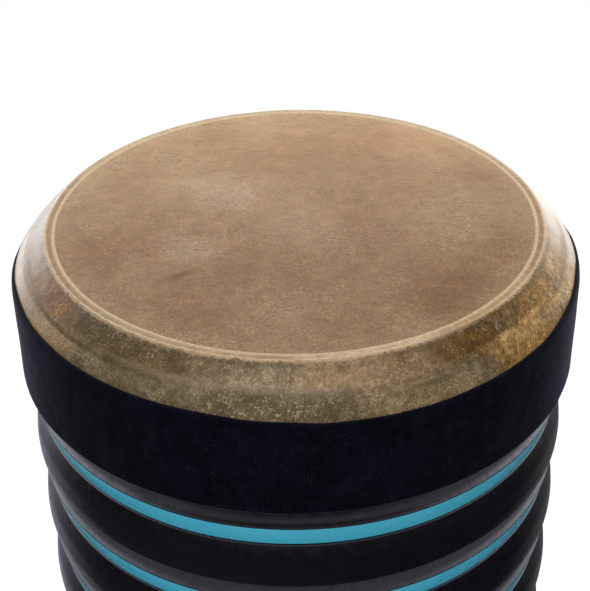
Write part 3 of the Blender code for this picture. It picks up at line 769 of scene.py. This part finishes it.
def knitted_band(steps=360):
    work = bmesh.new()
    lay = work.loops.layers.uv.new("cloth")
    rings = []
    for step in range(steps):
        angle = 2 * math.pi * step / steps
        rise = hem_rise(math.degrees(angle))
        rise += 0.0003 * noise.noise(Vector((math.cos(angle), math.sin(angle), 0.3)) * 6.0)
        ring = []
        for along, depth in band_section(BAND_WIDTH + rise):
            radius, height = on_band(along, depth)
            bulge = noise.noise(Vector((math.cos(angle) * 5.0, math.sin(angle) * 5.0, height * 45.0)))
            radius += 0.00022 * bulge * (1.0 if depth > 0.0 else 0.0)
            vertex = work.verts.new((radius * math.cos(angle), radius * math.sin(angle), height))
            ring.append((vertex, along))
        rings.append(ring)
    for step in range(steps):
        here, there = rings[step], rings[(step + 1) % steps]
        for i in range(len(here)):
            j = (i + 1) % len(here)
            corners = ((here[i], step), (there[i], step + 1), (there[j], step + 1), (here[j], step))
            face = work.faces.new([vertex for (vertex, _), _ in corners])
            for loop, ((_, along), column) in zip(face.loops, corners):
                loop[lay].uv = (column / steps * 2 * math.pi * BAND_INNER, along)
    mesh = bpy.data.meshes.new("knitted_band")
    work.to_mesh(mesh)
    work.free()
    settle_normals(mesh, 60.0)
    piece = bpy.data.objects.new("knitted_band", mesh)
    bpy.context.scene.collection.objects.link(piece)
    return piece


def band_finish():
    knit = Finish("band_knit")
    maths = knit.maths
    u, v, _ = knit.axes(knit.add("ShaderNodeUVMap", uv_map="cloth").outputs["UV"])
    waver = maths("MULTIPLY", maths("SUBTRACT", knit.noise(35.0, 3.0, 0.6), 0.5), 1.6)
    wale = maths("ADD", maths("DIVIDE", u, KNIT_WALE), waver)
    side = maths("ABSOLUTE", maths("SUBTRACT", maths("FRACT", wale), 0.5))
    rib = knit.between(side, 0.05, 0.48, 1.0, 0.0)
    course = maths("FRACT", maths("SUBTRACT", maths("DIVIDE", v, KNIT_COURSE), side))
    stitch = knit.between(maths("ABSOLUTE", maths("SUBTRACT", course, 0.5)), 0.10, 0.50, 1.0, 0.0)
    relief = maths("MULTIPLY", rib, maths("MULTIPLY_ADD", stitch, 0.6, 0.4))
    fuzz = knit.noise(2600.0, 2.0, 0.6)
    ground = knit.ramp(knit.noise(55.0, 5.0, 0.62), (0.34, (0.0008, 0.0008, 0.0028)), (0.66, (0.0026, 0.0025, 0.0072)))
    worn = knit.between(knit.noise(130.0, 4.0, 0.7, shift=(0.4, 0.0, 0.0)), 0.46, 0.66, 0.15, 1.0)
    # Painted light and shade of the knit: the raised ribs and stitches are painted lighter than the hollows between
    # them, in patches.
    colour = knit.mix(knit.times(relief, worn, 0.55), ground, (0.0130, 0.0130, 0.0230))
    colour = knit.contrast(colour, fuzz, 0.22, 0.60)
    lint = maths("MULTIPLY", knit.between(knit.noise(900.0, 2.0, 0.7, shift=(0.0, 0.5, 0.0)), 0.66, 0.74),
                 knit.between(knit.noise(70.0, 3.0, 0.6, shift=(0.8, 0.0, 0.0)), 0.50, 0.62))
    colour = knit.mix(maths("MULTIPLY", lint, 0.7), colour, (0.060, 0.060, 0.070))
    knit.relief(maths("MULTIPLY_ADD", fuzz, 0.6, knit.times(relief, worn)), 0.5, 0.00020)
    return knit.set(Base_Color=colour, Roughness=0.85, Specular_IOR_Level=0.08, Sheen_Weight=0.18,
                    Sheen_Roughness=0.22, Sheen_Tint=(0.66, 0.64, 1.0))


band = knitted_band()
band.data.materials.append(band_finish())
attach(band, "head")
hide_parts("elastic_band")


# Pleated shell: a blow-moulded black sleeve. Each pleat has a shoulder with a rim, a seat for a ring under
# the rim, and a convex bulge that turns under. Its cuffs are clamped in the frame and in the foot ring.
PLEATS = 11
FIRST_VALLEY = 0.0286
PLEAT_PITCH = 0.0463
VALLEY_RADIUS = 0.1290
BULGE_FOOT = 0.1421
BULGE_CREST = 0.1424
BULGE_UPPER = 0.1414
LIP_RADIUS = 0.1377
SEAT_RADIUS = 0.1360
SHOULDER_RADIUS = 0.1382
RIM_RADIUS = 0.1401
SHELL_WALL = 0.0016
LAST_VALLEY = FIRST_VALLEY + PLEATS * PLEAT_PITCH


def pleat_outline():
    """One pleat from its lower valley up to the next, as (radius, height above the lower valley)."""
    corners = [
        (VALLEY_RADIUS, 0.0),
        (BULGE_FOOT - 0.0006, 0.0006),
        (BULGE_FOOT + 0.0001, 0.0018),
        (BULGE_CREST, 0.0060),
        (BULGE_UPPER, 0.0152),
        (LIP_RADIUS, 0.0232),
        (SEAT_RADIUS, 0.0234),
        (SHOULDER_RADIUS, 0.0349),
        (RIM_RADIUS + 0.0001, 0.0350),
        (RIM_RADIUS + 0.0003, 0.0356),
        (0.1390, 0.0363),
        (0.1376, 0.0374),
        (0.1340, 0.0407),
        (VALLEY_RADIUS, PLEAT_PITCH),
    ]
    radii = [0, 0.0008, 0.0008, 0.012, 0.016, 0.0012, 0.0, 0.0, 0.0002, 0.0004, 0.0, 0.0, 0.0, 0]
    return [(radius, FIRST_VALLEY + height) for radius, height in rounded(corners, radii, steps=3)]


def gloss_finish(name, colour, roughness, cloudiness=0.15):
    plastic = Finish(name)
    smear = plastic.noise(30.0, 4.0)
    handled = plastic.noise(190.0, 4.0, 0.7)
    dull = tuple(part * (1.0 - cloudiness) for part in colour)
    fresh = tuple(part * (1.0 + cloudiness) for part in colour)
    tint = plastic.ramp(smear, (0.3, dull), (0.7, fresh))
    worn = plastic.between(handled, 0.35, 0.75, roughness * 0.75, roughness * 1.5)
    plastic.relief(plastic.maths("MULTIPLY_ADD", handled, 0.15, smear), 0.07, 0.0006)
    return plastic.set(Base_Color=tint, Roughness=worn, Specular_Tint=(0.88, 0.85, 1.0))


shell_black = gloss_finish("shell_black", (0.0048, 0.0048, 0.0075), 0.26)
pleats = turned("shell_pleats", pleat_outline(), shell_black, steps=128, repeats=PLEATS, pitch=PLEAT_PITCH,
                wall=SHELL_WALL, sharp=50.0)
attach(pleats, "foot")
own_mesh(pleats)
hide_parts("pleated_shell")

CUFF_INNER = 0.1270
CUFF_GAP = 0.0003
UPPER_CUFF_END = 0.5624
LOWER_CUFF_END = 0.0150
for name, body, top, bottom in (("shell_upper_cuff", "head", UPPER_CUFF_END, LAST_VALLEY + CUFF_GAP),
                                ("shell_lower_cuff", "foot", FIRST_VALLEY - CUFF_GAP, LOWER_CUFF_END)):
    outline = [(VALLEY_RADIUS, top), (VALLEY_RADIUS, bottom), (CUFF_INNER, bottom), (CUFF_INNER, top)]
    cuff = turned(name, outline, shell_black)
    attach(cuff, body)
    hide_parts("pleated_shell")


# Turquoise rings: flat extruded hoops of satin plastic, sprung into the seat above each bulge.
STRIPE_THICKNESS = 0.0012
STRIPE_LOW = (0.1363, 0.0237)
STRIPE_HIGH = (0.1384, 0.0345)
stripe_finish = gloss_finish("stripe_turquoise", (0.066, 0.460, 0.640), 0.30, cloudiness=0.04)
for number in range(PLEATS):
    base = FIRST_VALLEY + (PLEATS - 1 - number) * PLEAT_PITCH
    low = (STRIPE_LOW[0], base + STRIPE_LOW[1])
    high = (STRIPE_HIGH[0], base + STRIPE_HIGH[1])
    outline = [
        (high[0] + 0.0003, high[1]),
        (high[0] + STRIPE_THICKNESS - 0.0003, high[1] - 0.0001),
        (high[0] + STRIPE_THICKNESS, high[1] - 0.0006),
        (low[0] + STRIPE_THICKNESS, low[1] + 0.0005),
        (low[0] + STRIPE_THICKNESS - 0.0003, low[1]),
        low,
        high,
    ]
    stripe = turned(f"turquoise_ring_{number + 1:02d}", outline, stripe_finish)
    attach(stripe, "foot")
    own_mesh(stripe)
    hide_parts(f"stripe_ring_{number + 1:02d}")


# Foot ring and its rubber: a moulded ring with a rounded shoulder, and a soft ring let into its underside.
FOOT_TOP = 0.0278
FOOT_OUTLINE = [
    (0.1293, FOOT_TOP),
    (0.1382, 0.0178),
    (0.1432, 0.0113),
    (0.1432, 0.0025),
    (0.1403, 0.0025),
    (0.1403, 0.0053),
    (0.1327, 0.0053),
    (0.1327, 0.0025),
    (0.1270, 0.0025),
    (0.1270, 0.0147),
    (0.1309, 0.0147),
    (0.1309, 0.0183),
    (0.1293, 0.0183),
]
foot_finish = gloss_finish("foot_black", (0.0080, 0.0080, 0.0085), 0.28)
foot = turned("foot_moulding", rounded(FOOT_OUTLINE, [0, 0.002, 0.004, 0.001] + [0.0] * 9), foot_finish)
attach(foot, "foot")
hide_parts("foot_ring")

PAD_OUTLINE = [(0.1400, 0.0050), (0.1400, 0.0008), (0.1394, 0.0), (0.1336, 0.0), (0.1330, 0.0008), (0.1330, 0.0050)]
pad = turned("rubber_ring", PAD_OUTLINE, gloss_finish("foot_rubber", (0.020, 0.020, 0.020), 0.75))
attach(pad, "foot")
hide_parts("foot_pad")


# Head frame, bearing ring, clamp rings, hoop and screws: turned wood, rolled aluminium and steel inside the drum.
def wood_finish(name, dark, light):
    wood = Finish(name)
    stretch = wood.add("ShaderNodeMapping")
    stretch.inputs["Scale"].default_value = (12.0, 12.0, 220.0)
    wood.feed(stretch.inputs["Vector"], wood.place)
    grain = wood.noise(3.0, 6.0, at=stretch.outputs["Vector"])
    wood.relief(grain, 0.2, 0.0003)
    return wood.set(Base_Color=wood.ramp(grain, (0.3, dark), (0.7, light)), Roughness=0.5)


def metal_finish(name, colour, roughness):
    metal = Finish(name)
    scratches = metal.between(metal.noise(180.0), 0.2, 0.8, roughness * 0.7, roughness * 1.4)
    return metal.set(Base_Color=colour, Roughness=scratches, Metallic=1.0)


def refinish(node, material):
    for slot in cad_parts[node].material_slots:
        slot.material = material


refinish("head_frame", wood_finish("frame_wood", (0.30, 0.19, 0.10), (0.52, 0.36, 0.21)))
refinish("bearing_ring", wood_finish("bearing_ring_wood", (0.24, 0.14, 0.07), (0.44, 0.29, 0.16)))
aluminium = metal_finish("clamp_aluminium", (0.60, 0.61, 0.62), 0.38)
refinish("upper_clamp_ring", aluminium)
refinish("lower_clamp_ring", aluminium)
steel = metal_finish("screw_steel", (0.50, 0.50, 0.51), 0.32)
refinish("flesh_hoop", steel)
for number in range(1, 7):
    refinish(f"head_screw_{number}", steel)
    refinish(f"foot_screw_{number}", steel)
